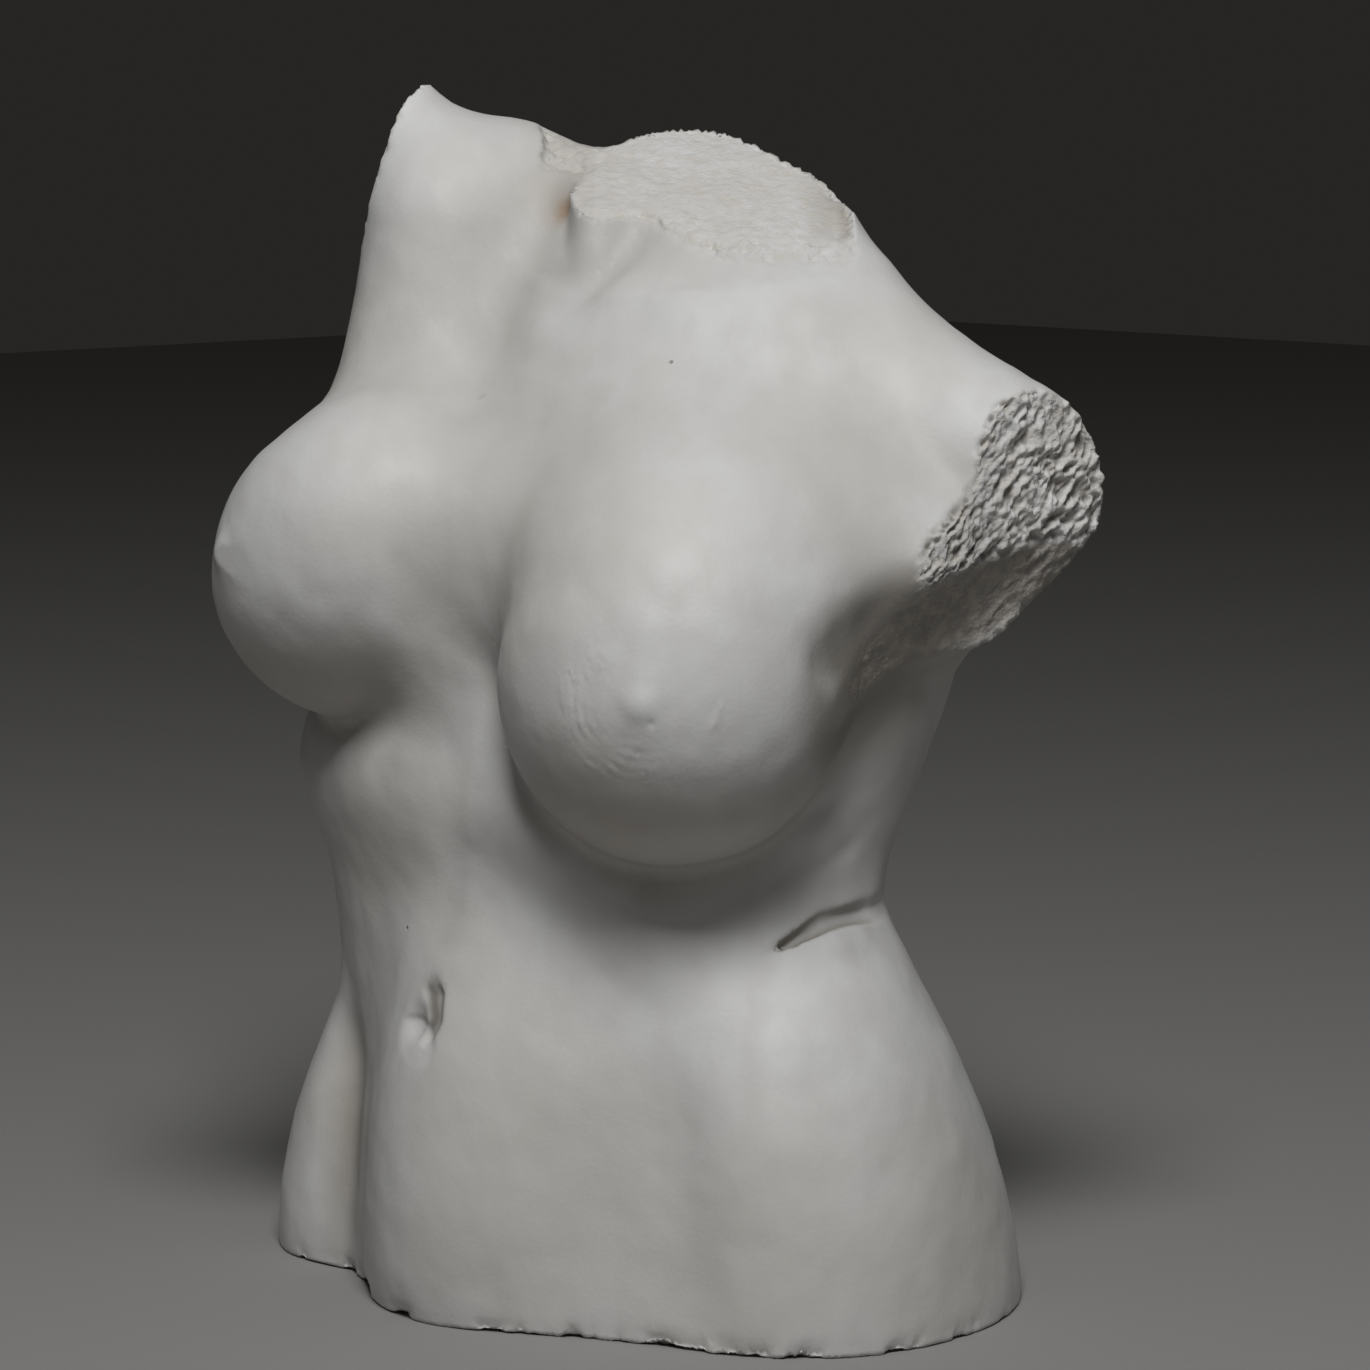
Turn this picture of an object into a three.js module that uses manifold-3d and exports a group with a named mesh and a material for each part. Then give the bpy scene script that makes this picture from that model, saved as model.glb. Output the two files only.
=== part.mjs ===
// A cut-off female torso cast in plaster, in millimetres.
// It faces -y, its left side is +x and z is up from the flat cut under the hips.
// The form is built the way it is modelled in clay: level sections of the trunk, rounded masses set on them
// and run together, then strokes that raise or cut the surface. Each mass is a distance: negative inside.
import * as THREE from "three";
import { mergeVertices } from "three/addons/utils/BufferGeometryUtils.js";
import Module from "manifold-3d";

// The trunk, level by level: centre, half widths to its left and right, depths to front and back,
// how square the section is (2 is an ellipse) and how far it has turned to its left, in degrees.
const HIP_CUT = { z: 0, x: 0, y: 0, left: 200, right: 184, front: 122, back: 138, square: 2.3, turn: 0 };
const BELOW_CUT = { ...HIP_CUT, z: -40 };
const HIPS = { z: 55, x: 0, y: 0, left: 191, right: 178, front: 116, back: 132, square: 2.25, turn: 0 };
const BELLY_LEVEL = {
  z: 110, x: -4, y: -4, left: 176, right: 166, front: 112, back: 122, square: 2.2, turn: 0,
};
const LOW_WAIST = {
  z: 155, x: -12, y: -8, left: 160, right: 158, front: 106, back: 106, square: 2.2, turn: 2,
};
const WAIST = { z: 192, x: -20, y: -8, left: 146, right: 156, front: 106, back: 98, square: 2.2, turn: 4 };
const LOW_RIBS = {
  z: 245, x: -20, y: -4, left: 141, right: 174, front: 114, back: 104, square: 2.2, turn: 7,
};
const MID_RIBS = {
  z: 310, x: -6, y: 10, left: 132, right: 165, front: 108, back: 104, square: 2.2, turn: 9,
};
const UPPER_CHEST = {
  z: 380, x: 2, y: 22, left: 120, right: 120, front: 84, back: 92, square: 2.2, turn: 9,
};
const CHEST_TOP = { z: 455, x: 2, y: 30, left: 66, right: 70, front: 50, back: 60, square: 2, turn: 9 };
const LEVELS = [
  BELOW_CUT, HIP_CUT, HIPS, BELLY_LEVEL, LOW_WAIST, WAIST, LOW_RIBS, MID_RIBS, UPPER_CHEST, CHEST_TOP,
];

// Rounded masses: a middle, half sizes, and the width over which the mass runs into the rest.
const RIB_CAGE = { rise: 5, half: [146, 106, 162], run: 40 };
const BELLY = { at: [4, -68, 40], half: [82, 92, 150], run: 40 };
const RIGHT_HIP = { at: [-122, -42, 8], half: [60, 76, 118], run: 40 };
const LEFT_HIP = { at: [128, -20, 30], half: [58, 66, 120], run: 40 };
const EGGS = [BELLY, RIGHT_HIP, LEFT_HIP];
const CHEST_TURN = { about: [0, 15, 325], turn: 9, lean: 12 };

// The breasts, placed from the chest's middle. Each runs into the chest above over overRun and meets it in a
// tight crease below; softInside carries the soft run down its inner side.
const LEFT_BREAST = {
  at: [80, -96, -6], half: [82, 86, 86], topReach: 1.12,
  turn: 28, lean: 0, lift: 6, overRun: 80, softInside: 0,
};
const RIGHT_BREAST = {
  at: [-108, -99, -4], half: [66, 75, 82], topReach: 1,
  turn: -40, lean: 25, lift: 4, overRun: 58, softInside: 0.5,
};
const UNDER_BREAST_RUN = 8;
const CREASE_HEIGHT = -30; // the crease is tight below this height in the breast's own frame
const SOFT_HEIGHT = 60; // and the run is full above this one

// Limbs and neck: round lengths that taper from one place to another.
const LEFT_SHOULDER = { from: [74, 46, 426], to: [215, 81, 383], start: 57, end: 32, run: 34 };
const LEFT_ARM_FRONT = { from: [100, 16, 380], to: [200, 46, 334], start: 42, end: 33, run: 22 };
const LEFT_ARM_BACK = { from: [128, 58, 319], to: [190, 93, 376], start: 20, end: 18, run: 16 };
const RIGHT_SHOULDER = { from: [-50, 25, 435], to: [-147, -32, 547], start: 57, end: 28, run: 45 };
const RIGHT_TRAPEZIUS = { from: [10, 48, 468], to: [-104, 12, 527], start: 39, end: 23, run: 30 };
const RIGHT_ARMPIT = { from: [-114, -44, 384], to: [-114, -32, 500], start: 50, end: 36, run: 30 };
const NECK = { from: [22, 42, 430], to: [32, 46, 560], start: 50, end: 28, run: 40 };
const LEFT_TRAPEZIUS = { from: [58, 53, 496], to: [108, 62, 438], start: 20, end: 22, run: 20 };
const NECK_BACK = { from: [-12, 46, 440], to: [-20, 44, 560], start: 50, end: 35, run: 30 };
const NECK_TENDON = { from: [-15, -26, 472], to: [-23, -9, 520], start: 4, end: 16, run: 20 };

const LIMBS = [
  LEFT_SHOULDER, LEFT_ARM_FRONT, LEFT_ARM_BACK, RIGHT_SHOULDER, RIGHT_TRAPEZIUS, RIGHT_ARMPIT,
  NECK, LEFT_TRAPEZIUS, NECK_BACK, NECK_TENDON,
];

// The hollow broken out under the left arm's stump, and how soft its edge is.
const LEFT_ARM_SCOOP = { from: [214, -1, 294], to: [252, 126, 362], start: 57, end: 56, run: 6 };

// Strokes of the tool along the surface: how wide and how high, where a negative height cuts. They fade
// out at both ends, and a stroke of a single point is a dab.
const STROKE_FADE = 0.3; // the share of a stroke's length over which it fades in, and again out
const STROKES = {
  throatPit: { wide: 17, high: -9, along: [[-14, -44, 478]] },
  besideTendon: {
    wide: 7, high: -2,
    along: [[-12, -40, 466], [-4, -30, 480], [6, -16, 500], [10, -8, 520]],
  },
  rightCollarHollow: {
    wide: 24, high: -6,
    along: [[-64, -10, 530], [-58, -34, 500], [-50, -56, 470], [-44, -84, 430], [-40, -96, 395]],
  },
  leftCollarBone: {
    wide: 15, high: 3,
    along: [[30, -44, 466], [64, -30, 468], [98, -2, 464], [128, 26, 450]],
  },
  breastBone: { wide: 22, high: 3, along: [[6, -86, 420], [8, -108, 380], [4, -112, 335], [-4, -108, 285]] },
  midline: {
    wide: 15, high: -2,
    along: [[-7, -110, 290], [-10, -116, 240], [-15, -122, 195], [-13, -134, 146]],
  },
  navelSlit: {
    wide: 3.5, high: -8,
    along: [[-15, -130, 157], [-3, -134, 149], [1, -139, 139], [-3, -143, 126]],
  },
  navelFloor: { wide: 8, high: -4, along: [[-13, -137, 136]] },
  leftRibEdge: {
    wide: 16, high: 4,
    along: [[-2, -118, 252], [40, -112, 222], [84, -92, 196], [112, -66, 180]],
  },
  rightHipGroove: {
    wide: 18, high: -5,
    along: [[-124, -90, 150], [-100, -100, 90], [-92, -106, 40], [-86, -112, -60]],
  },
  leftHipGroove: {
    wide: 20, high: -5,
    along: [[100, -92, 150], [118, -100, 90], [132, -104, 40], [140, -100, -20]],
  },
  leftHipSide: { wide: 17, high: -3, along: [[146, -56, 140], [168, -40, 97], [183, -17, 50]] },
  waistCrease: {
    wide: 3.5, high: -10,
    along: [[123, -48, 171], [125, -32, 177], [127, -8, 186], [122, 30, 187], [98, 76, 187]],
  },
  underWaistCrease: {
    wide: 9, high: 3,
    along: [[130, -44, 162], [131, -28, 168], [133, -6, 176], [128, 30, 177]],
  },
  leftArmpitFold: {
    wide: 16, high: -6,
    along: [[192, 10, 345], [176, -16, 330], [168, -40, 318], [160, -70, 306]],
  },
  spine: {
    wide: 20, high: -12,
    along: [[0, 90, 450], [0, 112, 380], [-12, 112, 300], [-18, 92, 200], [-6, 118, 110], [0, 134, 40]],
  },
  seatCleft: { wide: 12, high: -12, along: [[0, 134, 70], [0, 138, 0], [0, 138, -60]] },
  leftShoulderBlade: { wide: 32, high: 9, along: [[62, 112, 440], [84, 116, 380], [76, 116, 320]] },
  rightShoulderBlade: { wide: 32, high: 9, along: [[-84, 72, 470], [-108, 84, 410], [-96, 100, 340]] },
};

// Cuts and breaks: where, how far it is turned about z (0 faces the left side) and tipped up, and its size.
// A break is wider than the limb or neck that it goes through by a margin at either side.
const BREAK_MARGIN = 45;
const BASE_CUT = {
  at: [0, 0, 0], turn: 0, tip: -90,
  wide: 2 * (HIP_CUT.front + HIP_CUT.back), high: 2 * (HIP_CUT.left + HIP_CUT.right),
};
const NECK_BREAK = {
  at: [2, 28, 521], turn: -43, tip: 65.5, wide: 2 * (NECK.end + BREAK_MARGIN), high: 230,
};
const LEFT_ARM_BREAK = {
  at: [187, 50, 385], turn: -3, tip: 2, wide: 2 * (LEFT_SHOULDER.end + BREAK_MARGIN), high: 140,
};
const RIGHT_ARM_BREAK = {
  at: [-141, -37, 538], turn: 209, tip: 17, wide: 2 * (RIGHT_SHOULDER.end + BREAK_MARGIN), high: 120,
};
const CUTS = [BASE_CUT, NECK_BREAK, LEFT_ARM_BREAK, RIGHT_ARM_BREAK];

const DEGREE = Math.PI / 180;
const mix = (a, b, t) => a + (b - a) * t;
const share = (low, high, v) => Math.min(Math.max((v - low) / (high - low), 0), 1);

function easeIn(low, high, v) {
  const t = share(low, high, v);
  return t * t * (3 - 2 * t);
}

// Runs two masses together over a width.
function runTogether(a, b, width) {
  const near = Math.max(width - Math.abs(a - b), 0);
  return Math.min(a, b) - (near * near) / (4 * width);
}

// The trunk's section at a height, on a smooth curve through the levels.
function levelAt(z) {
  let i = 0;
  while (i < LEVELS.length - 2 && z > LEVELS[i + 1].z) i++;
  const before = LEVELS[Math.max(i - 1, 0)];
  const a = LEVELS[i];
  const b = LEVELS[i + 1];
  const after = LEVELS[Math.min(i + 2, LEVELS.length - 1)];
  const t = share(a.z, b.z, z);
  const rise = b.z - a.z;
  const level = {};
  for (const key of ["x", "y", "left", "right", "front", "back", "square", "turn"]) {
    const slopeA = (b[key] - before[key]) / (b.z - before.z);
    const slopeB = (after[key] - a[key]) / (after.z - a.z);
    level[key] =
      (2 * t ** 3 - 3 * t ** 2 + 1) * a[key] +
      (t ** 3 - 2 * t ** 2 + t) * rise * slopeA +
      (3 * t ** 2 - 2 * t ** 3) * b[key] +
      (t ** 3 - t ** 2) * rise * slopeB;
  }
  return level;
}

function trunk(x, y, z) {
  const s = levelAt(z);
  const c = Math.cos(s.turn * DEGREE);
  const n = Math.sin(s.turn * DEGREE);
  const across = (x - s.x) * c + (y - s.y) * n;
  const deep = (y - s.y) * c - (x - s.x) * n;
  const wide = across > 0 ? s.left : s.right;
  const depth = deep < 0 ? s.front : s.back;
  const out = Math.hypot(across, deep);
  if (out < 1e-6) return -Math.min(wide, depth);
  const q = (Math.abs(across / wide) ** s.square + Math.abs(deep / depth) ** s.square) ** (1 / s.square);
  return Math.max(out - out / q, z - CHEST_TOP.z);
}

// Turns and leans a place in space, and gives points as seen from there.
function placed(at, turn, lean, lift) {
  const m = new THREE.Matrix4().makeTranslation(...at);
  m.multiply(new THREE.Matrix4().makeRotationZ(turn * DEGREE));
  m.multiply(new THREE.Matrix4().makeRotationY(lean * DEGREE));
  m.multiply(new THREE.Matrix4().makeRotationX(lift * DEGREE));
  return m;
}

const seenFrom = (matrix) => {
  const e = matrix.clone().invert().elements;
  return (x, y, z) => [
    e[0] * x + e[4] * y + e[8] * z + e[12],
    e[1] * x + e[5] * y + e[9] * z + e[13],
    e[2] * x + e[6] * y + e[10] * z + e[14],
  ];
};

function egg([x, y, z], [a, b, c]) {
  const near = Math.hypot(x / a, y / b, z / c);
  const steep = Math.hypot(x / (a * a), y / (b * b), z / (c * c));
  return steep < 1e-9 ? -Math.min(a, b, c) : (near * (near - 1)) / steep;
}

// How far a point is from a length, and how far along it the nearest place is.
function besideLength(x, y, z, a, b) {
  const ax = b[0] - a[0];
  const ay = b[1] - a[1];
  const az = b[2] - a[2];
  const px = x - a[0];
  const py = y - a[1];
  const pz = z - a[2];
  const t = share(0, ax * ax + ay * ay + az * az, px * ax + py * ay + pz * az);
  return [Math.hypot(px - ax * t, py - ay * t, pz - az * t), t];
}

function limb(x, y, z, { from, to, start, end }) {
  const [away, t] = besideLength(x, y, z, from, to);
  return away - mix(start, end, t);
}

function stroke(x, y, z, { wide, high, along }) {
  if (along.length === 1) {
    const [ax, ay, az] = along[0];
    return high * Math.exp(-((Math.hypot(x - ax, y - ay, z - az) / wide) ** 2));
  }
  let nearest = Infinity;
  let progress = 0;
  for (let i = 0; i + 1 < along.length; i++) {
    const [away, t] = besideLength(x, y, z, along[i], along[i + 1]);
    if (away >= nearest) continue;
    nearest = away;
    progress = (i + t) / (along.length - 1);
  }
  const fade = easeIn(0, STROKE_FADE, Math.min(progress, 1 - progress));
  return high * fade * Math.exp(-((nearest / wide) ** 2));
}

const chest = placed(CHEST_TURN.about, CHEST_TURN.turn, CHEST_TURN.lean, 0);
const fromChest = seenFrom(chest);
const breasts = [LEFT_BREAST, RIGHT_BREAST].map((breast) => {
  const place = chest.clone().multiply(placed(breast.at, breast.turn, breast.lean, -breast.lift));
  return { ...breast, place, see: seenFrom(place) };
});

function form(x, y, z) {
  let d = trunk(x, y, z);
  const [cx, cy, cz] = fromChest(x, y, z);
  d = runTogether(d, egg([cx, cy, cz - RIB_CAGE.rise], RIB_CAGE.half), RIB_CAGE.run);
  for (const { at, half, run } of EGGS) {
    d = runTogether(d, egg([x - at[0], y - at[1], z - at[2]], half), run);
  }
  for (const mass of LIMBS) d = runTogether(d, limb(x, y, z, mass), mass.run);
  for (const { see, half, topReach, overRun, softInside } of breasts) {
    const p = see(x, y, z);
    const size = [half[0], half[1], p[2] > 0 ? half[2] * topReach : half[2]];
    const softness = easeIn(CREASE_HEIGHT, SOFT_HEIGHT, p[2] + softInside * Math.max(p[0], 0));
    const run = mix(UNDER_BREAST_RUN, overRun, softness);
    d = runTogether(d, egg(p, size), run);
  }
  for (const mark of Object.values(STROKES)) d -= stroke(x, y, z, mark);
  d = -runTogether(-d, limb(x, y, z, LEFT_ARM_SCOOP), LEFT_ARM_SCOOP.run);
  return Math.max(d, BELOW_CUT.z - z);
}

// From form to mesh. Cells of a grid that the surface passes through each give one corner, which is pulled
// onto the form.
const CELL = 14;
const PULLS = 3;
const LONGEST_PULL = 3; // a corner in a tight crease isn't thrown across it
const STEP = 0.5; // for the form's slope

// The grid holds every mass with room to spare.
const extent = new THREE.Box3();
const ball = (at, radius) =>
  new THREE.Box3().setFromCenterAndSize(new THREE.Vector3(...at), new THREE.Vector3().setScalar(2 * radius));
for (const level of LEVELS) {
  extent.expandByPoint(new THREE.Vector3(level.x - level.right, level.y - level.front, level.z));
  extent.expandByPoint(new THREE.Vector3(level.x + level.left, level.y + level.back, level.z));
}
for (const { from, to, start, end } of LIMBS) extent.union(ball(from, start)).union(ball(to, end));
for (const { place, half } of breasts) {
  extent.union(ball(new THREE.Vector3().setFromMatrixPosition(place), Math.max(...half)));
}
for (const { at, half } of EGGS) {
  extent.expandByPoint(new THREE.Vector3(at[0] - half[0], at[1] - half[1], at[2]));
  extent.expandByPoint(new THREE.Vector3(at[0] + half[0], at[1] + half[1], at[2] + half[2]));
}
extent.expandByScalar(2 * CELL);
const GRID_LOW = extent.min.toArray();
const GRID_HIGH = extent.max.toArray();

function pullOntoForm(p) {
  const d = form(...p);
  const slope = [0, 1, 2].map((i) => {
    const q = [...p];
    q[i] += STEP;
    return (form(...q) - d) / STEP;
  });
  const steep = Math.max(slope[0] ** 2 + slope[1] ** 2 + slope[2] ** 2, 1e-6);
  const move = Math.min(Math.max(d / Math.sqrt(steep), -LONGEST_PULL), LONGEST_PULL);
  return p.map((v, i) => v - (slope[i] / Math.sqrt(steep)) * move);
}

// Where two opposite corners of a grid face lie inside and the other two outside, as in a crease thinner
// than a cell, two sheets of the surface would share an edge. The outer corner nearest to the form is filled.
function fillCheckeredFaces(value, index, eachCell) {
  const axes = [[1, 0, 0], [0, 1, 0], [0, 0, 1]];
  let filled = true;
  while (filled) {
    filled = false;
    eachCell(0, (i, j, k) => {
      axes.forEach((a, n) => {
        const b = axes[(n + 1) % 3];
        const face = [
          index(i, j, k),
          index(i + a[0], j + a[1], k + a[2]),
          index(i + a[0] + b[0], j + a[1] + b[1], k + a[2] + b[2]),
          index(i + b[0], j + b[1], k + b[2]),
        ];
        const inside = face.map((c) => value[c] < 0);
        if (inside[0] !== inside[2] || inside[1] !== inside[3] || inside[0] === inside[1]) return;
        const [one, other] = face.filter((c, m) => !inside[m]);
        value[value[one] < value[other] ? one : other] = -1e-3;
        filled = true;
      });
    });
  }
}

function surfaceMesh() {
  const count = GRID_LOW.map((low, i) => Math.ceil((GRID_HIGH[i] - low) / CELL) + 1);
  const index = (i, j, k) => (k * count[1] + j) * count[0] + i;
  const value = new Float32Array(count[0] * count[1] * count[2]);
  const eachCell = (start, visit) => {
    for (let k = start; k < count[2] - 1; k++) {
      for (let j = start; j < count[1] - 1; j++) {
        for (let i = start; i < count[0] - 1; i++) visit(i, j, k);
      }
    }
  };
  for (let k = 0; k < count[2]; k++) {
    for (let j = 0; j < count[1]; j++) {
      for (let i = 0; i < count[0]; i++) {
        value[index(i, j, k)] = form(GRID_LOW[0] + i * CELL, GRID_LOW[1] + j * CELL, GRID_LOW[2] + k * CELL);
      }
    }
  }
  fillCheckeredFaces(value, index, eachCell);
  const cornerOf = new Int32Array(value.length).fill(-1);
  const corners = [];
  eachCell(0, (i, j, k) => {
    const crossings = [];
    for (let a = 0; a < 8; a++) {
      const pa = [a & 1, (a >> 1) & 1, a >> 2];
      const va = value[index(i + pa[0], j + pa[1], k + pa[2])];
      for (const axis of [0, 1, 2]) {
        if (pa[axis]) continue;
        const pb = [...pa];
        pb[axis] = 1;
        const vb = value[index(i + pb[0], j + pb[1], k + pb[2])];
        if (va < 0 === vb < 0) continue;
        const crossing = [...pa];
        crossing[axis] = va / (va - vb);
        crossings.push(crossing);
      }
    }
    if (!crossings.length) return;
    let p = [i, j, k].map((cell, axis) => {
      const middle = crossings.reduce((sum, c) => sum + c[axis], 0) / crossings.length;
      return GRID_LOW[axis] + (cell + middle) * CELL;
    });
    for (let n = 0; n < PULLS; n++) p = pullOntoForm(p);
    cornerOf[index(i, j, k)] = corners.length / 3;
    corners.push(...p);
  });
  const faces = [];
  const addFace = (outward, cells) => {
    const q = cells.map(([i, j, k]) => cornerOf[index(i, j, k)]);
    if (!outward) q.reverse();
    faces.push(q[0], q[1], q[2], q[0], q[2], q[3]);
  };
  eachCell(1, (i, j, k) => {
    const inside = value[index(i, j, k)] < 0;
    if (inside !== value[index(i + 1, j, k)] < 0) {
      addFace(inside, [[i, j - 1, k - 1], [i, j, k - 1], [i, j, k], [i, j - 1, k]]);
    }
    if (inside !== value[index(i, j + 1, k)] < 0) {
      addFace(inside, [[i - 1, j, k - 1], [i - 1, j, k], [i, j, k], [i, j, k - 1]]);
    }
    if (inside !== value[index(i, j, k + 1)] < 0) {
      addFace(inside, [[i - 1, j - 1, k], [i, j - 1, k], [i, j, k], [i - 1, j, k]]);
    }
  });
  const geometry = new THREE.BufferGeometry();
  geometry.setAttribute("position", new THREE.Float32BufferAttribute(corners, 3));
  geometry.setIndex(faces);
  return geometry;
}

// Joins and cuts.
const wasm = await Module();
wasm.setup();

function solidOf(geometry) {
  const bare = geometry.clone();
  bare.deleteAttribute("normal");
  bare.deleteAttribute("uv");
  const merged = mergeVertices(bare, 1e-4);
  return new wasm.Manifold(
    new wasm.Mesh({
      numProp: 3,
      vertProperties: merged.attributes.position.array,
      triVerts: new Uint32Array(merged.index.array),
    }),
  );
}

function geometryOf(solid) {
  const mesh = solid.getMesh();
  const geometry = new THREE.BufferGeometry();
  const position = new Float32Array(mesh.numVert * 3);
  for (let i = 0; i < mesh.numVert; i++) {
    position.set(mesh.vertProperties.subarray(i * mesh.numProp, i * mesh.numProp + 3), i * 3);
  }
  geometry.setAttribute("position", new THREE.BufferAttribute(position, 3));
  geometry.setIndex(new THREE.BufferAttribute(new Uint32Array(mesh.triVerts), 1));
  geometry.computeVertexNormals();
  return geometry;
}

// What a cut takes away: a block whose one face lies in the cut.
const CUT_DEPTH = 160;

function cutBlock({ at, turn, tip, wide, high }) {
  const block = new THREE.BoxGeometry(CUT_DEPTH, wide, high);
  block.translate(CUT_DEPTH / 2, 0, 0);
  block.rotateY(-tip * DEGREE);
  block.rotateZ(turn * DEGREE);
  block.translate(...at);
  return solidOf(block);
}

let torso = solidOf(surfaceMesh());
for (const cut of CUTS) torso = torso.subtract(cutBlock(cut));

const plaster = new THREE.MeshStandardMaterial({ color: 0xdcd9d2, roughness: 0.72, metalness: 0 });
const torsoMesh = new THREE.Mesh(geometryOf(torso), plaster);
torsoMesh.name = "plaster_torso";

const bust = new THREE.Group();
bust.name = "bust";
bust.add(torsoMesh);

export default bust;
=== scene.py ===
import math
import bpy
import numpy as np
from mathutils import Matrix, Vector


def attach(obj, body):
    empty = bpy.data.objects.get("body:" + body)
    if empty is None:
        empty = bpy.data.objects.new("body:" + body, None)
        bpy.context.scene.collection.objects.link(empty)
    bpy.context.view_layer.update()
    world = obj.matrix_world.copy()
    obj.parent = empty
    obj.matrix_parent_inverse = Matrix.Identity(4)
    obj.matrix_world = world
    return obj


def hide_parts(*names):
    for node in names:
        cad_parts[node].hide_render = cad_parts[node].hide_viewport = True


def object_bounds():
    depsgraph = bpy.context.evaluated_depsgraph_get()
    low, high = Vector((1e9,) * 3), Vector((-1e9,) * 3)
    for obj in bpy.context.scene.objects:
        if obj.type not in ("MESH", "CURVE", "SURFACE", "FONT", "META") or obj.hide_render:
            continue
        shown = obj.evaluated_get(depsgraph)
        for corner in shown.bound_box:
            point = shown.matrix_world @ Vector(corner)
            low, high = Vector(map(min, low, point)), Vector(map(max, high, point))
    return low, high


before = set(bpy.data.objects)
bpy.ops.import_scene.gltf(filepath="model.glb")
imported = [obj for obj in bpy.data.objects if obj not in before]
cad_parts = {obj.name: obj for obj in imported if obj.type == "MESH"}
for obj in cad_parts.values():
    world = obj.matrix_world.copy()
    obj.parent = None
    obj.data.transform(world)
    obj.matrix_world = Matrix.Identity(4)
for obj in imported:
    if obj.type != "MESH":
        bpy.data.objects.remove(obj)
cad_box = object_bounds()

# The camera looks from the torso's front left, a little above its middle. Lengths in this section are metres.
CAMERA_TURN, CAMERA_RISE, CAMERA_AWAY = 47, 7.5, 2.4
CAMERA_AIM = Vector((0, 0, 0.28))
PIXELS_PER_METRE, FRAME_PIXELS = 2080, 1370
AIM_PIXEL = (650, 694)
SENSOR_WIDTH = 36
NEAREST_SEEN, FARTHEST_SEEN = 0.1, 20

turn, rise = math.radians(CAMERA_TURN), math.radians(CAMERA_RISE)
backwards = Vector((math.sin(turn) * math.cos(rise), -math.cos(turn) * math.cos(rise), math.sin(rise)))
camera_data = bpy.data.cameras.new("camera")
camera_data.sensor_width = SENSOR_WIDTH
camera_data.lens = PIXELS_PER_METRE * CAMERA_AWAY / FRAME_PIXELS * SENSOR_WIDTH
camera_data.shift_x = (FRAME_PIXELS / 2 - AIM_PIXEL[0]) / FRAME_PIXELS
camera_data.shift_y = (AIM_PIXEL[1] - FRAME_PIXELS / 2) / FRAME_PIXELS
camera_data.clip_start, camera_data.clip_end = NEAREST_SEEN, FARTHEST_SEEN
camera = bpy.data.objects.new("camera", camera_data)
camera.location = CAMERA_AIM + backwards * CAMERA_AWAY
camera.rotation_mode = "QUATERNION"
camera.rotation_quaternion = (-backwards).to_track_quat("-Z", "Y")
bpy.context.scene.collection.objects.link(camera)
bpy.context.scene.camera = camera

# The plaster torso: one hollow cast of white plaster, cut flat under the hips, broken at the neck and both arms.
# It is modelled in clay, cast, then rubbed down, so its skin is smooth with brush marks, and its breaks are rough.
# Sizes in this section are the CAD part's own, in millimetres and degrees.

# Level by level up the trunk: z, centre x and y, half widths left and right, depths front and back, squareness, turn.
LEVELS = np.array([
    (-40, 0, 0, 200, 184, 122, 138, 2.3, 0),
    (0, 0, 0, 200, 184, 122, 138, 2.3, 0),
    (55, 0, 0, 191, 178, 116, 132, 2.25, 0),
    (110, -4, -4, 176, 166, 112, 122, 2.2, 0),
    (155, -12, -8, 160, 158, 106, 106, 2.2, 2),
    (192, -20, -8, 146, 156, 106, 98, 2.2, 4),
    (245, -20, -4, 141, 174, 114, 104, 2.2, 7),
    (310, -6, 10, 132, 165, 108, 104, 2.2, 9),
    (380, 2, 22, 120, 120, 84, 92, 2.2, 9),
    (455, 2, 30, 66, 70, 50, 60, 2.0, 9),
], dtype=float)
CHEST_ABOUT, CHEST_TURN, CHEST_LEAN = (0, 15, 325), 9, 12
# Each mass of clay: where it is, how big, and over what width it runs into the rest.
RIB_CAGE = dict(rise=5, half=(146, 106, 162), run=40)
BELLY_AND_HIPS = dict(
    belly=dict(at=(4, -68, 40), half=(82, 92, 150), run=40),
    right_hip=dict(at=(-122, -42, 8), half=(60, 76, 118), run=40),
    left_hip=dict(at=(128, -20, 30), half=(58, 66, 120), run=40),
)
LIMBS = dict(
    left_shoulder=dict(start=(74, 46, 426), end=(215, 81, 383), wide=57, narrow=32, run=34),
    left_arm_front=dict(start=(100, 16, 380), end=(200, 46, 334), wide=42, narrow=33, run=22),
    left_arm_back=dict(start=(128, 58, 319), end=(190, 93, 376), wide=20, narrow=18, run=16),
    right_shoulder=dict(start=(-50, 25, 435), end=(-147, -32, 547), wide=57, narrow=28, run=45),
    right_trapezius=dict(start=(10, 48, 468), end=(-104, 12, 527), wide=39, narrow=23, run=30),
    right_armpit=dict(start=(-114, -44, 384), end=(-114, -32, 500), wide=50, narrow=36, run=30),
    neck=dict(start=(22, 42, 430), end=(32, 46, 560), wide=50, narrow=28, run=40),
    left_trapezius=dict(start=(58, 53, 496), end=(108, 62, 438), wide=20, narrow=22, run=20),
    neck_back=dict(start=(-12, 46, 440), end=(-20, 44, 560), wide=50, narrow=35, run=30),
    neck_tendon=dict(start=(-15, -26, 472), end=(-23, -9, 520), wide=4, narrow=16, run=20),
)
BREASTS = dict(
    left=dict(at=(80, -96, -6), half=(82, 86, 86), top_reach=1.12, turn=28, lean=0, lift=6, over_run=80,
              soft_inside=0),
    right=dict(at=(-108, -99, -4), half=(66, 75, 82), top_reach=1, turn=-40, lean=25, lift=4, over_run=58,
               soft_inside=0.5),
)
UNDER_BREAST_RUN = 8
CREASE_HEIGHT, SOFT_HEIGHT = -30, 60
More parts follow.
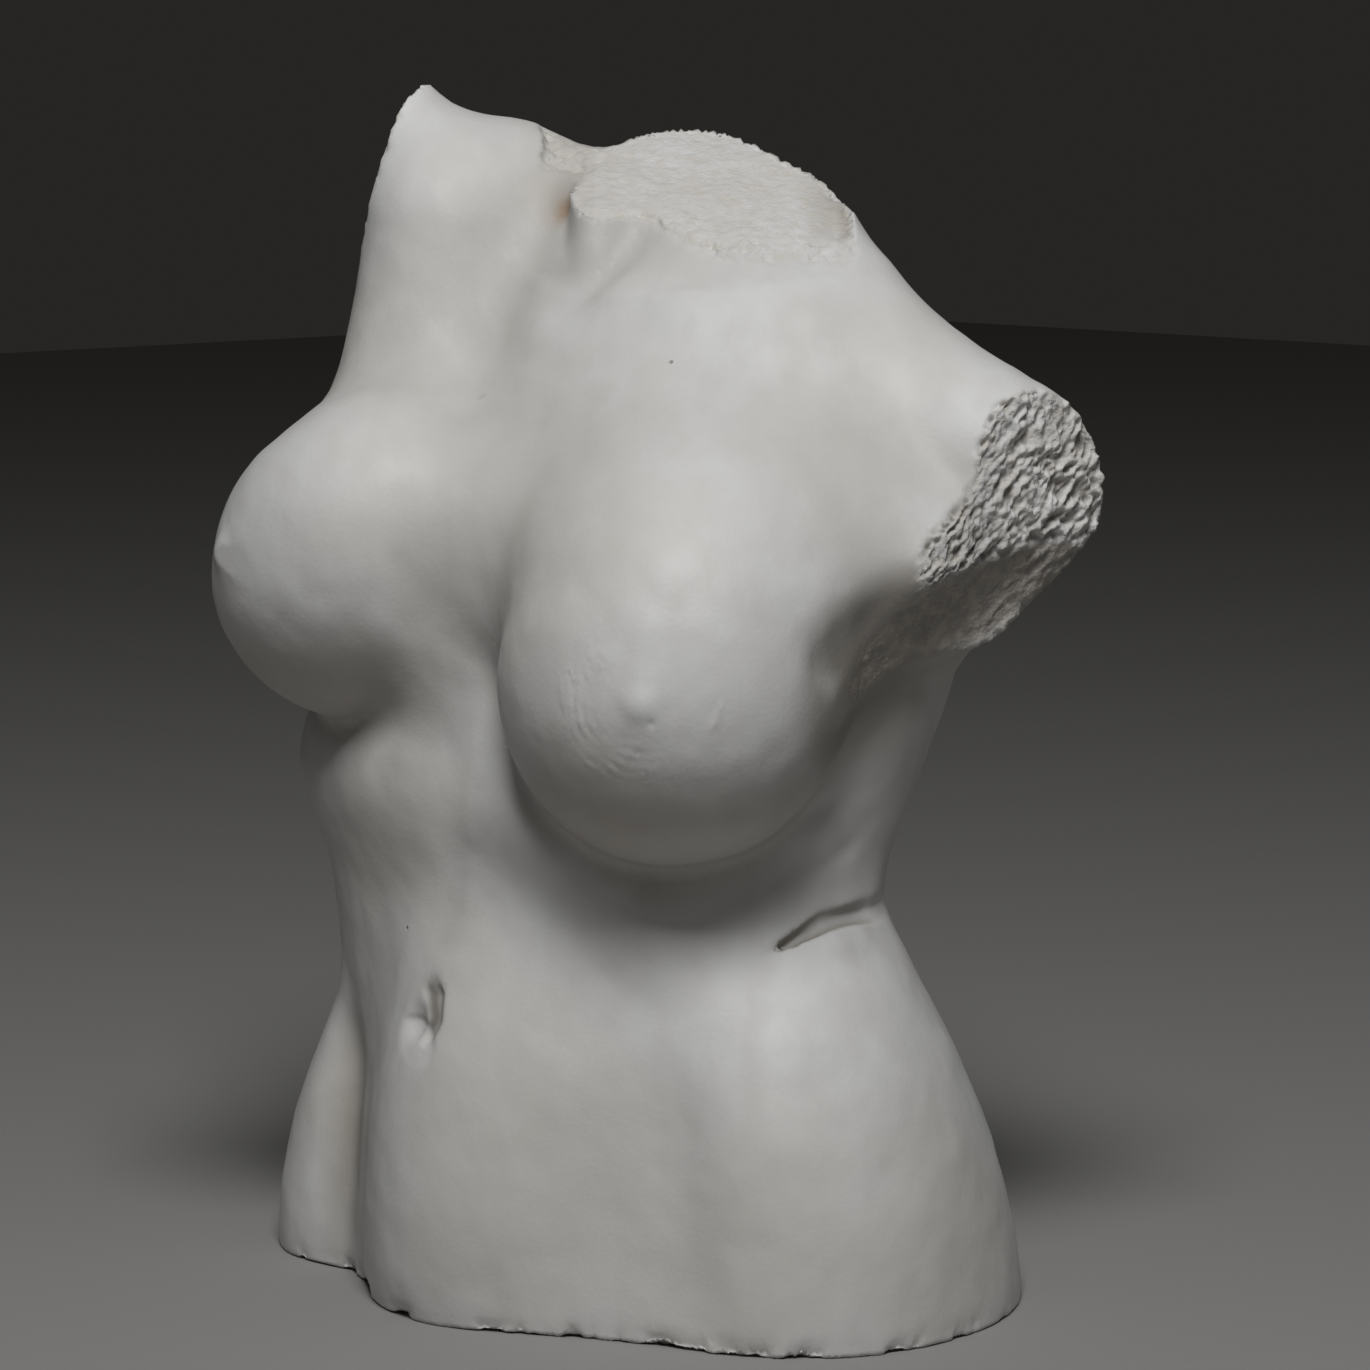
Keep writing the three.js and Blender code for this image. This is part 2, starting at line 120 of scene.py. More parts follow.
LEFT_ARM_SCOOP = dict(start=(214, -1, 294), end=(252, 126, 362), wide=57, run=6)
# Strokes of the modelling tool: width, height (cut where negative) and the way they go.
STROKE_FADE, STROKE_REACH = 0.3, 3.2
STROKES = dict(
    throat_pit=(17, -9, [(-14, -44, 478)]),
    beside_tendon=(7, -2, [(-12, -40, 466), (-4, -30, 480), (6, -16, 500), (10, -8, 520)]),
    right_collar_hollow=(24, -6, [(-64, -10, 530), (-58, -34, 500), (-50, -56, 470), (-44, -84, 430), (-40, -96, 395)]),
    left_collar_bone=(15, 3, [(30, -44, 466), (64, -30, 468), (98, -2, 464), (128, 26, 450)]),
    breast_bone=(22, 3, [(6, -86, 420), (8, -108, 380), (4, -112, 335), (-4, -108, 285)]),
    midline=(15, -2, [(-7, -110, 290), (-10, -116, 240), (-15, -122, 195), (-13, -134, 146)]),
    navel_slit=(3.5, -8, [(-15, -130, 157), (-3, -134, 149), (1, -139, 139), (-3, -143, 126)]),
    navel_floor=(8, -4, [(-13, -137, 136)]),
    left_rib_edge=(16, 4, [(-2, -118, 252), (40, -112, 222), (84, -92, 196), (112, -66, 180)]),
    right_hip_groove=(18, -5, [(-124, -90, 150), (-100, -100, 90), (-92, -106, 40), (-86, -112, -60)]),
    left_hip_groove=(20, -5, [(100, -92, 150), (118, -100, 90), (132, -104, 40), (140, -100, -20)]),
    left_hip_side=(17, -3, [(146, -56, 140), (168, -40, 97), (183, -17, 50)]),
    waist_crease=(3.5, -10, [(123, -48, 171), (125, -32, 177), (127, -8, 186), (122, 30, 187), (98, 76, 187)]),
    under_waist_crease=(9, 3, [(130, -44, 162), (131, -28, 168), (133, -6, 176), (128, 30, 177)]),
    left_armpit_fold=(16, -6, [(192, 10, 345), (176, -16, 330), (168, -40, 318), (160, -70, 306)]),
    spine=(20, -12, [(0, 90, 450), (0, 112, 380), (-12, 112, 300), (-18, 92, 200), (-6, 118, 110), (0, 134, 40)]),
    seat_cleft=(12, -12, [(0, 134, 70), (0, 138, 0), (0, 138, -60)]),
    left_shoulder_blade=(32, 9, [(62, 112, 440), (84, 116, 380), (76, 116, 320)]),
    right_shoulder_blade=(32, 9, [(-84, 72, 470), (-108, 84, 410), (-96, 100, 340)]),
)
# Cuts and breaks: a point, how far it is turned about z and tipped up, and its width and height.
BASE_CUT = ((0, 0, 0), 0, -90, 520, 768)
NECK_BREAK = ((2, 28, 521), -43, 65.5, 146, 230)
LEFT_ARM_BREAK = ((187, 50, 385), -3, 2, 154, 140)
RIGHT_ARM_BREAK = ((-141, -37, 538), 209, 17, 146, 120)
CUTS = [BASE_CUT, NECK_BREAK, LEFT_ARM_BREAK, RIGHT_ARM_BREAK]
BREAKS = CUTS[1:]
RIM_ROUNDING = [1.5, 2, 3, 3]
SMALLEST = 1e-9


def ease(low, high, v):
    t = np.clip((v - low) / (high - low), 0, 1)
    return t * t * (3 - 2 * t)


def run_together(a, b, width):
    near = np.maximum(width - np.abs(a - b), 0)
    return np.minimum(a, b) - near * near / (4 * width)


def section_at(z):
    """The trunk's section at each height, on smooth curves through the levels."""
    i = np.clip(np.searchsorted(LEVELS[:, 0], z, side="left") - 1, 0, len(LEVELS) - 2)
    before, a, b, after = (LEVELS[np.clip(i + k, 0, len(LEVELS) - 1)] for k in (-1, 0, 1, 2))
    t = np.clip((z - a[:, 0]) / (b[:, 0] - a[:, 0]), 0, 1)[:, None]
    step_up = (b[:, 0] - a[:, 0])[:, None]
    slope_a = (b - before) / (b[:, :1] - before[:, :1])
    slope_b = (after - a) / (after[:, :1] - a[:, :1])
    mixed = (2 * t**3 - 3 * t**2 + 1) * a + (t**3 - 2 * t**2 + t) * step_up * slope_a
    mixed += (3 * t**2 - 2 * t**3) * b + (t**3 - t**2) * step_up * slope_b
    return mixed[:, 1:].T


def trunk(p):
    x, y, left, right, front, back, square, turned = section_at(p[:, 2])
    c, s = np.cos(np.radians(turned)), np.sin(np.radians(turned))
    across = (p[:, 0] - x) * c + (p[:, 1] - y) * s
    deep = (p[:, 1] - y) * c - (p[:, 0] - x) * s
    wide, depth = np.where(across > 0, left, right), np.where(deep < 0, front, back)
    out = np.maximum(np.hypot(across, deep), 1e-6)
    q = (np.abs(across / wide) ** square + np.abs(deep / depth) ** square) ** (1 / square)
    return np.maximum(out - out / np.maximum(q, SMALLEST), p[:, 2] - LEVELS[-1, 0])


def turned_axes(turn, lean, lift):
    t, n, f = np.radians((turn, lean, lift))
    about_z = np.array([(math.cos(t), -math.sin(t), 0), (math.sin(t), math.cos(t), 0), (0, 0, 1)])
    about_y = np.array([(math.cos(n), 0, math.sin(n)), (0, 1, 0), (-math.sin(n), 0, math.cos(n))])
    about_x = np.array([(1, 0, 0), (0, math.cos(f), -math.sin(f)), (0, math.sin(f), math.cos(f))])
    return about_z @ about_y @ about_x


def egg(p, half):
    """How far a point is out of an egg whose half sizes may differ from point to point."""
    near = np.linalg.norm(p / half, axis=1)
    steep = np.linalg.norm(p / half**2, axis=1)
    return np.where(steep < SMALLEST, -np.min(half), near * (near - 1) / np.maximum(steep, SMALLEST))


def beside_length(p, a, b):
    """How far a point is from the line between two others, and how far along it is."""
    a, b = np.asarray(a, dtype=float), np.asarray(b, dtype=float)
    along = b - a
    t = np.clip((p - a) @ along / (along @ along), 0, 1)
    return np.linalg.norm(p - a - t[:, None] * along, axis=1), t


def stroke(p, wide, high, along):
    """How far a tool's stroke raises each point. It fades out at both ends."""
    reach = STROKE_REACH * wide
    ways = np.asarray(along, dtype=float)
    near = np.all((p > ways.min(0) - reach) & (p < ways.max(0) + reach), axis=1)
    raised = np.zeros(len(p))
    q = p[near]
    if not len(q):
        return raised
    if len(ways) == 1:
        raised[near] = high * np.exp(-(np.linalg.norm(q - ways[0], axis=1) / wide) ** 2)
        return raised
    nearest_way, progress = np.full(len(q), np.inf), np.zeros(len(q))
    for i in range(len(ways) - 1):
        away, t = beside_length(q, ways[i], ways[i + 1])
        closer = away < nearest_way
        nearest_way = np.where(closer, away, nearest_way)
        progress = np.where(closer, (i + t) / (len(ways) - 1), progress)
    fade = ease(0, STROKE_FADE, np.minimum(progress, 1 - progress))
    raised[near] = high * fade * np.exp(-(nearest_way / wide) ** 2)
    return raised


chest_axes = turned_axes(CHEST_TURN, CHEST_LEAN, 0)
for breast in BREASTS.values():
    breast["place"] = np.array(CHEST_ABOUT) + chest_axes @ np.array(breast["at"])
    breast["axes"] = chest_axes @ turned_axes(breast["turn"], breast["lean"], -breast["lift"])


def scoop_gap(p):
    away, _ = beside_length(p, LEFT_ARM_SCOOP["start"], LEFT_ARM_SCOOP["end"])
    return away - LEFT_ARM_SCOOP["wide"]


def form(p):
    """How far each point is outside the clay form, before it is cut."""
    d = trunk(p)
    q = (p - CHEST_ABOUT) @ chest_axes
    ribs = egg(q - (0, 0, RIB_CAGE["rise"]), np.array(RIB_CAGE["half"], dtype=float))
    d = run_together(d, ribs, RIB_CAGE["run"])
    for mass in BELLY_AND_HIPS.values():
        d = run_together(d, egg(p - mass["at"], np.array(mass["half"], dtype=float)), mass["run"])
    for mass in LIMBS.values():
        away, t = beside_length(p, mass["start"], mass["end"])
        d = run_together(d, away - (mass["wide"] + (mass["narrow"] - mass["wide"]) * t), mass["run"])
    for mass in BREASTS.values():
        q = (p - mass["place"]) @ mass["axes"]
        half = np.tile(np.array(mass["half"], dtype=float), (len(q), 1))
        half[:, 2] *= np.where(q[:, 2] > 0, mass["top_reach"], 1)
        higher = q[:, 2] + mass["soft_inside"] * np.maximum(q[:, 0], 0)
        softer = (mass["over_run"] - UNDER_BREAST_RUN) * ease(CREASE_HEIGHT, SOFT_HEIGHT, higher)
        d = run_together(d, egg(q, half), UNDER_BREAST_RUN + softer)
    for wide, high, along in STROKES.values():
        d -= stroke(p, wide, high, along)
    return -run_together(-d, scoop_gap(p), LEFT_ARM_SCOOP["run"])


def cut_facing(cut):
    turned, tip = math.radians(cut[1]), math.radians(cut[2])
    return np.array((math.cos(turned) * math.cos(tip), math.sin(turned) * math.cos(tip), math.sin(tip)))


def past_cut(p, cut):
    """How far a point is out past a cut, and how far inside the cut's width and height."""
    at, turned, tip, wide, high = cut
    t, f = math.radians(turned), math.radians(tip)
    side = np.array((-math.sin(t), math.cos(t), 0))
    up = np.array((-math.cos(t) * math.sin(f), -math.sin(t) * math.sin(f), math.cos(f)))
    q = p - np.array(at, dtype=float)
    return q @ cut_facing(cut), np.minimum(wide / 2 - np.abs(q @ side), high / 2 - np.abs(q @ up))


def whole(p):
    """How far each point is outside the torso, with its cuts and breaks made."""
    d = form(p)
    for cut, rounding in zip(CUTS, RIM_ROUNDING):
        past, within = past_cut(p, cut)
        d = -run_together(-d, -np.minimum(past, within), rounding)
    return d


# The skin is a net over the cells that the surface passes through, with every corner pulled onto the form.
CELL, COARSE, BAND = 4.0, 4, 1.6
LOW_CORNER = np.array((-200.0, -190.0, -6.0))
HIGH_CORNER = np.array((212.0, 152.0, 586.0))
count = np.ceil((HIGH_CORNER - LOW_CORNER) / CELL).astype(int) + 1
coarse_count = np.ceil((count - 1) / COARSE).astype(int) + 1
coarse_lines = [LOW_CORNER[i] + CELL * COARSE * np.arange(coarse_count[i]) for i in range(3)]
coarse_points = np.stack(np.meshgrid(*coarse_lines, indexing="ij"), -1)
coarse = whole(coarse_points.reshape(-1, 3)).reshape(coarse_count)
to_coarse = [
    np.clip(np.round(np.arange(count[i]) / COARSE).astype(int), 0, coarse_count[i] - 1) for i in range(3)
]
distances = coarse[np.ix_(*to_coarse)]
band = np.abs(distances) < CELL * COARSE * BAND
distances[band] = whole(LOW_CORNER + np.argwhere(band) * CELL)

inside = distances < 0
corner_sum = np.zeros(tuple(count - 1) + (3,))
crossings = np.zeros(tuple(count - 1))
for axis in range(3):
    first = [slice(None)] * 3
    second = [slice(None)] * 3
    first[axis], second[axis] = slice(0, -1), slice(1, None)
    here, there = distances[tuple(first)], distances[tuple(second)]
    crossed = (here < 0) != (there < 0)
    share = np.where(crossed, here / np.where(crossed, here - there, 1), 0)
    u_axis, v_axis = [k for k in range(3) if k != axis]
    for u in (0, 1):
        for v in (0, 1):
            pick = [slice(None)] * 3
            pick[u_axis] = slice(u, count[u_axis] - 1 + u)
            pick[v_axis] = slice(v, count[v_axis] - 1 + v)
            hit = crossed[tuple(pick)]
            crossings += hit
            corner_sum[..., axis] += np.where(hit, share[tuple(pick)], 0)
            corner_sum[..., u_axis] += hit * u
            corner_sum[..., v_axis] += hit * v
used = crossings > 0
corner_id = np.full(used.shape, -1)
corner_id[used] = np.arange(used.sum())
points = LOW_CORNER + (np.argwhere(used) + corner_sum[used] / crossings[used][:, None]) * CELL
faces = []
for axis in range(3):
    u_axis, v_axis = (axis + 1) % 3, (axis + 2) % 3
    first = [slice(1, -1)] * 3
    second = [slice(1, -1)] * 3
    first[axis], second[axis] = slice(0, -1), slice(1, None)
    start = np.argwhere(inside[tuple(first)] != inside[tuple(second)])
    start[:, u_axis] += 1
    start[:, v_axis] += 1
    outward = inside[tuple(start.T)]
    ring = []
    for u_step, v_step in ((-1, -1), (0, -1), (0, 0), (-1, 0)):
        cell = start.copy()
        cell[:, u_axis] += u_step
        cell[:, v_axis] += v_step
        ring.append(corner_id[tuple(cell.T)])
    ring = np.stack(ring, 1)
    ring[~outward] = ring[~outward][:, ::-1]
    faces.append(ring)
quads = np.concatenate(faces)
triangles = np.concatenate([quads[:, [0, 1, 2]], quads[:, [0, 2, 3]]])

SLOPE_STEP, LEAST_STEEP, LONGEST_PULL, PULL_ROUNDS = 0.4, 0.3, 1.6, 3


def slope_of(p, d):
    return np.stack([(whole(p + SLOPE_STEP * np.eye(3)[i]) - d) / SLOPE_STEP for i in range(3)], 1)


def pull(p):
    """Moves each point straight onto the torso's surface."""
    d = whole(p)
    slope = slope_of(p, d)
    steep = np.maximum(np.linalg.norm(slope, axis=1), LEAST_STEEP)
    return p - slope / steep[:, None] * np.clip(d / steep, -LONGEST_PULL, LONGEST_PULL)[:, None]


for _ in range(PULL_ROUNDS):
    points = pull(points)

# The net is finer where there is something fine: the breaks, the rims, the creases, the navel and the nipples.
LEFT_NIPPLE, RIGHT_NIPPLE, NAVEL = (141, -138, 301), (-115, -169, 352), (-8, -138, 132)
PLAIN_EDGE, RIM_EDGE, SCOOP_EDGE, CREASE_EDGE = 99.0, 2.0, 1.5, 2.2
BREAK_EDGES = [1.9, 1.1, 1.8]
FINE_SPOTS = [(NAVEL, 24, 1.5), (LEFT_NIPPLE, 15, 1.6), (LEFT_NIPPLE, 42, 2.2), (RIGHT_NIPPLE, 16, 2.0)]
SPLIT_OVER, SPLIT_ROUNDS = 1.35, 2


def fineness(p):
    """How long an edge of the net may be at each point."""
    d = form(p)
    size = np.full(len(p), PLAIN_EDGE)
    for cut, width in zip(BREAKS, BREAK_EDGES):
        past, reach = past_cut(p, cut)
        size = np.where((past > -1.5) & (reach > 0), width, size)
    for cut in CUTS:
        past, reach = past_cut(p, cut)
        by_rim = (np.abs(past) < 6) & (np.abs(d) < 6) & (reach > -6)
        size = np.where(by_rim, np.minimum(size, RIM_EDGE), size)
    for centre, radius, width in FINE_SPOTS:
        close = np.linalg.norm(p - np.array(centre), axis=1) < radius
        size = np.where(close, np.minimum(size, width), size)
    by_scoop = (np.abs(scoop_gap(p)) < 1.5) & (np.abs(d) < 3)
    size = np.where(by_scoop, np.minimum(size, SCOOP_EDGE), size)
    crease = STROKES["waist_crease"][2]
    away = np.full(len(p), np.inf)
    for a, b in zip(crease[:3], crease[1:4]):
        away = np.minimum(away, beside_length(p, a, b)[0])
    return np.where(away < 10, np.minimum(size, CREASE_EDGE), size)


def split_long_edges(points, triangles):
    """Halves each edge that is too long, and divides the triangles on both its sides alike."""
    edges = np.sort(np.concatenate([triangles[:, [0, 1]], triangles[:, [1, 2]], triangles[:, [2, 0]]]), axis=1)
    unique, inverse = np.unique(edges, axis=0, return_inverse=True)
    inverse = inverse.reshape(3, -1).T
    a, b = points[unique[:, 0]], points[unique[:, 1]]
    long = np.linalg.norm(a - b, axis=1) > SPLIT_OVER * fineness((a + b) / 2)
    middle_id = np.full(len(unique), -1)
    middle_id[long] = len(points) + np.arange(long.sum())
    points = np.concatenate([points, pull((a[long] + b[long]) / 2)])
    middles = middle_id[inverse]
    marked = middles >= 0
    number = marked.sum(1)
    out = [triangles[number == 0]]
    for k in range(3):
        order = [k, (k + 1) % 3, (k + 2) % 3]
        pick = (number == 1) & marked[:, k]
        t, m = triangles[pick][:, order], middles[pick, k]
        out += [np.stack([t[:, 0], m, t[:, 2]], 1), np.stack([m, t[:, 1], t[:, 2]], 1)]
        pick = (number == 2) & ~marked[:, k]
        t = triangles[pick][:, order]
        m, n = middles[pick][:, order[1]], middles[pick][:, order[2]]
        out += [np.stack([m, t[:, 2], n], 1), np.stack([t[:, 0], t[:, 1], m], 1), np.stack([t[:, 0], m, n], 1)]
    t, m = triangles[number == 3], middles[number == 3]
    out += [np.stack([t[:, 0], m[:, 0], m[:, 2]], 1), np.stack([m[:, 0], t[:, 1], m[:, 1]], 1)]
    out += [np.stack([m[:, 2], m[:, 1], t[:, 2]], 1), m]
    return points, np.concatenate(out)


for _ in range(SPLIT_ROUNDS):
    points, triangles = split_long_edges(points, triangles)
points = pull(points)

# Which way the skin faces, how deep in a hollow it lies, and how much it stands out on an edge.
NEAR_LOOK, FAR_LOOK = 8, 30
slope = slope_of(points, whole(points))
facing = slope / np.maximum(np.linalg.norm(slope, axis=1), 1e-6)[:, None]
# Painted shade: this hollow measure later darkens the plaster's colour in creases and small hollows.
hollow = np.clip((NEAR_LOOK - whole(points + NEAR_LOOK * facing)) / NEAR_LOOK, 0, 1)
edge = np.clip((NEAR_LOOK + whole(points - NEAR_LOOK * facing)) / NEAR_LOOK, 0, 1)


def lumps(p, size, seed):
    """Smooth random lumps between -1 and 1, about one size across."""
    q = p / size + seed * 17.31
    cell = np.floor(q).astype(np.int64)
    t = q - cell
    t = t * t * (3 - 2 * t)
    total = np.zeros(len(p))
    for i in (0, 1):
        for j in (0, 1):
            for k in (0, 1):
                n = (cell[:, 0] + i) * 73856093 ^ (cell[:, 1] + j) * 19349663 ^ (cell[:, 2] + k) * 83492791
                n = (n ^ (n >> 13)) * 1274126177 & 0xFFFFFFFF
                n = (n ^ (n >> 15)) * 2246822519 & 0xFFFFFFFF
                level = (n >> 8 & 0xFFFF) / 32767.5 - 1
                total += level * np.abs(1 - i - t[:, 0]) * np.abs(1 - j - t[:, 1]) * np.abs(1 - k - t[:, 2])
    return total


def face_of(cut):
    """1 on the broken face itself, 0 on the skin beside it."""
    past, reach = past_cut(points, cut)
    return ease(-4.5, -1.5, past) * ease(-2, 1, reach) * ease(0.45, 0.8, facing @ cut_facing(cut))


def round_spot(centre, radius):
    """1 at a centre, and softly less around it."""
    return np.exp(-((np.linalg.norm(points - centre, axis=1) / radius) ** 2))


relief = np.zeros(len(points))

# The left arm broke off and was left rough: its grain climbs from front to back, fine in front and chunky behind.
# Each layer of ridges is its width, length, seed and share, and the crumbs are their size, seed and share.
RIDGE_SLANT = math.radians(40)
FINE_RIDGES, FINE_CRUMBS = [(3.2, 8, 4, 0.7), (2.0, 3.2, 21, 0.6)], (1.8, 5, 0.4)
CHUNKY_RIDGES, CHUNKY_CRUMBS = [(6.0, 9, 3, 1.0), (3.2, 4, 22, 0.6)], (2.0, 23, 0.3)
TORN_HEIGHT, TORN_SINK, SCOOP_SINK = 2.1, 2.4, 0.8
upper_face = face_of(LEFT_ARM_BREAK)
lower_face = ease(-3, -1, -np.abs(scoop_gap(points))) * (1 - upper_face)
from_break = points - LEFT_ARM_BREAK[0]
along_ridge = from_break[:, 1] * math.cos(RIDGE_SLANT) + from_break[:, 2] * math.sin(RIDGE_SLANT)
across_ridge = from_break[:, 2] * math.cos(RIDGE_SLANT) - from_break[:, 1] * math.sin(RIDGE_SLANT)
wander = 2.5 * lumps(points, 11, 2)


def ridges(wide, long, seed):
    rasped = np.stack([(across_ridge + wander) / wide, along_ridge / long, from_break[:, 0] / 30], 1)
    return 1 - 2 * np.abs(lumps(rasped, 1, seed))


def torn_grain(layers, crumbs):
    crumb_size, crumb_seed, crumb_share = crumbs
    layered = sum(share * ridges(wide, long, seed) for wide, long, seed, share in layers)
    return layered + crumb_share * lumps(points, crumb_size, crumb_seed)


to_back = ease(22, 62, points[:, 1])
torn = torn_grain(FINE_RIDGES, FINE_CRUMBS) * (1 - to_back) + torn_grain(CHUNKY_RIDGES, CHUNKY_CRUMBS) * to_back
relief += upper_face * (TORN_HEIGHT * torn - TORN_SINK)
# Painted shade: the stump's pits, and more of its front half, which faces away from the light, are coloured dark.
recess = upper_face * (ease(0.6, -0.4, torn) * (1 - 0.35 * to_back) + 0.25 * (1 - to_back))
scoop_rough = ease(20, 85, points[:, 1] + 0.8 * (345 - points[:, 2]))
relief += lower_face * (0.25 * lumps(points, 3, 6) + scoop_rough * (torn - SCOOP_SINK))

# The neck and the raised arm broke off: their faces are grainy and uneven.
neck_face = face_of(NECK_BREAK)
right_face = face_of(RIGHT_ARM_BREAK)
grain = lumps(points, 2.4, 7) + 0.8 * lumps(points, 5, 8)
relief += neck_face * (0.45 * grain + 1.3 * lumps(points, 24, 9) - 1.2)
relief += right_face * (0.7 * grain + 2.2 * lumps(points, 18, 10) - 1.6)

# Where a break meets the skin, its rim has crumbled.
RIM_WIDTH, RIM_LOSS = 3.5, 2.6
for cut in BREAKS:
    past, reach = past_cut(points, cut)
    at_rim = np.exp(-((past / RIM_WIDTH) ** 2)) * ease(-4, 0, reach) * np.exp(-((form(points) / RIM_WIDTH) ** 2))
    relief -= at_rim * RIM_LOSS * np.maximum(lumps(points, 4, 14) + 0.7 * lumps(points, 9, 15), 0)

# The cut base edge is worn and chipped all round.
BASE_WEAR, CHIP_DEPTH = 0.5, 4.5
at_base = np.exp(-((points[:, 2] / 5) ** 2)) * (form(points) > -6)
low_points = points * (1, 1, 0.3)
chip = np.maximum(lumps(low_points, 15, 16) + 0.6 * lumps(low_points, 5, 17) - 0.05, 0)
relief -= at_base * (BASE_WEAR + CHIP_DEPTH * chip)

# The clay was smoothed by hand, so the skin is nowhere quite even: height, size and seed of each kind of lump.
UNEVENNESS = [(0.65, 34, 11), (0.36, 15, 12), (0.2, 7.5, 20)]
skin = 1 - np.maximum.reduce([upper_face, lower_face, neck_face, right_face])
relief += skin * sum(high * lumps(points, size, seed) for high, size, seed in UNEVENNESS)

# The navel has a shelf at its top and a floor that faces up, beside the thin slit. It is set out as the camera sees
# it, with the distance to the right first and the height last.
NAVEL_RIGHT, NAVEL_BOTTOM, NAVEL_TALL, NAVEL_DEPTH = -108.8, 116, 23, 1.3
NAVEL_SLIT = [(-106, 0, 158), (-101, 0, 150), (-100, 0, 140), (-103, 0, 130)]
belly_front = points[:, 1] < -90
seen_right = 0.682 * points[:, 0] + 0.731 * points[:, 1]
navel_round = np.hypot((seen_right - NAVEL_RIGHT) / 9, (points[:, 2] - 128) / 12.5)
in_navel = (1 - ease(0.7, 1.15, navel_round)) * (1 - ease(136, 140, points[:, 2])) * belly_front
relief -= in_navel * NAVEL_DEPTH * np.clip((points[:, 2] - NAVEL_BOTTOM) / NAVEL_TALL, 0, 1)
seen_flat = np.stack([seen_right, 0 * seen_right, points[:, 2]], 1)
# Painted shadow: the navel's thin slit is coloured dark.
recess = np.maximum(recess, 0.95 * stroke(seen_flat, 2.6, 1, NAVEL_SLIT) * belly_front)

# The nipples are low soft domes on a barely raised ring. The clay beside the left one is scraped in arcs.
for centre, dome in ((LEFT_NIPPLE, 2.0), (RIGHT_NIPPLE, 2.4)):
    away = np.linalg.norm(points - np.array(centre), axis=1)
    relief += dome * np.exp(-(away / 8) ** 2.3) + 0.6 * np.exp(-(away / 18) ** 4)
away = np.linalg.norm(points - np.array(LEFT_NIPPLE), axis=1)
lower_right = LEFT_NIPPLE[0] - points[:, 0] + 0.4 * (LEFT_NIPPLE[2] - points[:, 2])
scraped = ease(15, 20, away) * (1 - ease(34, 44, away)) * ease(0, 14, lower_right)
hatch = np.sin(away * 2 * math.pi / 4.6 + 5 * lumps(points, 10, 18)) + 0.8 * lumps(points, 3.5, 24)
relief += scraped * 0.3 * hatch * np.clip(0.5 + 0.9 * lumps(points, 8, 19), 0, 1)

# Marks that are finer than the part's own strokes: width, height and the way they go. They are the ribs' edges, a
# dimple, a nick and a nail's arc by the left nipple, a deeper groin and collar hollow, and a softer armpit and neck.
GROIN = [(-128, -88, 140), (-104, -98, 95), (-96, -104, 50), (-92, -108, 6)]
COLLAR_HOLLOW = [(-56, -24, 505), (-52, -50, 478), (-46, -78, 440)]
MARKS = dict(
    rib_notch=(4.5, -1.8, [(121, -12, 212), (125, 2, 215), (126, 19, 221)]),
    below_rib_notch=(7, -1.0, [(118, -34, 204), (122, -20, 209), (124, -4, 214)]),
    rib=(9, 1.1, [(121, -30, 222), (126, -12, 230), (129, 6, 234)]),
    above_rib=(6, -0.9, [(120, -36, 229), (125, -19, 237), (130, 2, 244), (130, 16, 247)]),
    belly_dimple=(7, -1.1, [(76, -98, 165)]),
    nipple_nick=(1.6, -1.4, [(144, -133, 293)]),
    nail_arc=(1.3, 0.5, [(165, -111, 303), (164, -112, 296), (161, -115, 287)]),
    groin=(13, -2.5, GROIN),
    soft_armpit=(15, 3.0, [(172, -24, 324), (164, -58, 312)]),
    soft_neck_side=(9, 3.0, [(-48, -14, 512), (-45, -17, 504), (-40, -22, 495), (-34, -28, 486), (-30, -34, 478)]),
    collar_hollow=(20, -2, COLLAR_HOLLOW),
)
for wide, high, along in MARKS.values():
    relief += stroke(points, wide, high, along)

# Painted shade: the plaster is coloured darker and browner where shade falls, in sheltered hollows, on undersides,
# along the groin and collar hollow, and by the scoop. There are also two brown stains by the shoulder.
shade = np.clip((FAR_LOOK - whole(points + FAR_LOOK * facing)) / FAR_LOOK, 0, 1)
shade = np.maximum(shade, 0.75 * ease(0.1, 0.7, -facing[:, 2]))
past_scoop = np.maximum(scoop_gap(points), 0)
scoop_shade = np.exp(-((past_scoop / 22) ** 2)) * ease(0.45, 0, facing[:, 2]) * (1 - upper_face)
# Painted shade: the scoop and the skin just beside and below it are coloured dark as well.
recess = np.maximum(recess, 0.38 * scoop_shade)
# Painted highlight: the navel's floor, which faces up, gets the same lighter colour as the rubbed edges.
edge = np.maximum(edge, 0.7 * in_navel)
by_neck = round_spot((-38, -22, 495), 16)

surface = points + facing * relief[:, None]
points = np.clip(surface, np.array(cad_box[0]) * 1000, np.array(cad_box[1]) * 1000)

# Painted shadow along the groin groove and in the collar hollow.
shade += stroke(points, 15, 0.45, GROIN) + stroke(points, 24, 0.25, COLLAR_HOLLOW)
shade = np.maximum(shade, scoop_shade) * (1 - 0.6 * upper_face)
# The painted shade in the hollows is made lighter along the waist crease and beside the neck.
in_crease = stroke(points, 10, 1, STROKES["waist_crease"][2])
hollow = hollow * (1 - 0.55 * np.clip(in_crease, 0, 1)) * (1 - 0.9 * by_neck)
stain = np.clip(1 - np.linalg.norm((points - (-97, 14, 506)) / (10, 26, 18), axis=1), 0, 1)
stain = np.maximum(stain, right_face * 0.4 * (1 + lumps(points, 12, 13)))
stain = np.maximum(stain, 0.8 * round_spot((-46, -12, 511), 7))
broken = np.clip(upper_face + lower_face + neck_face + right_face, 0, 1)

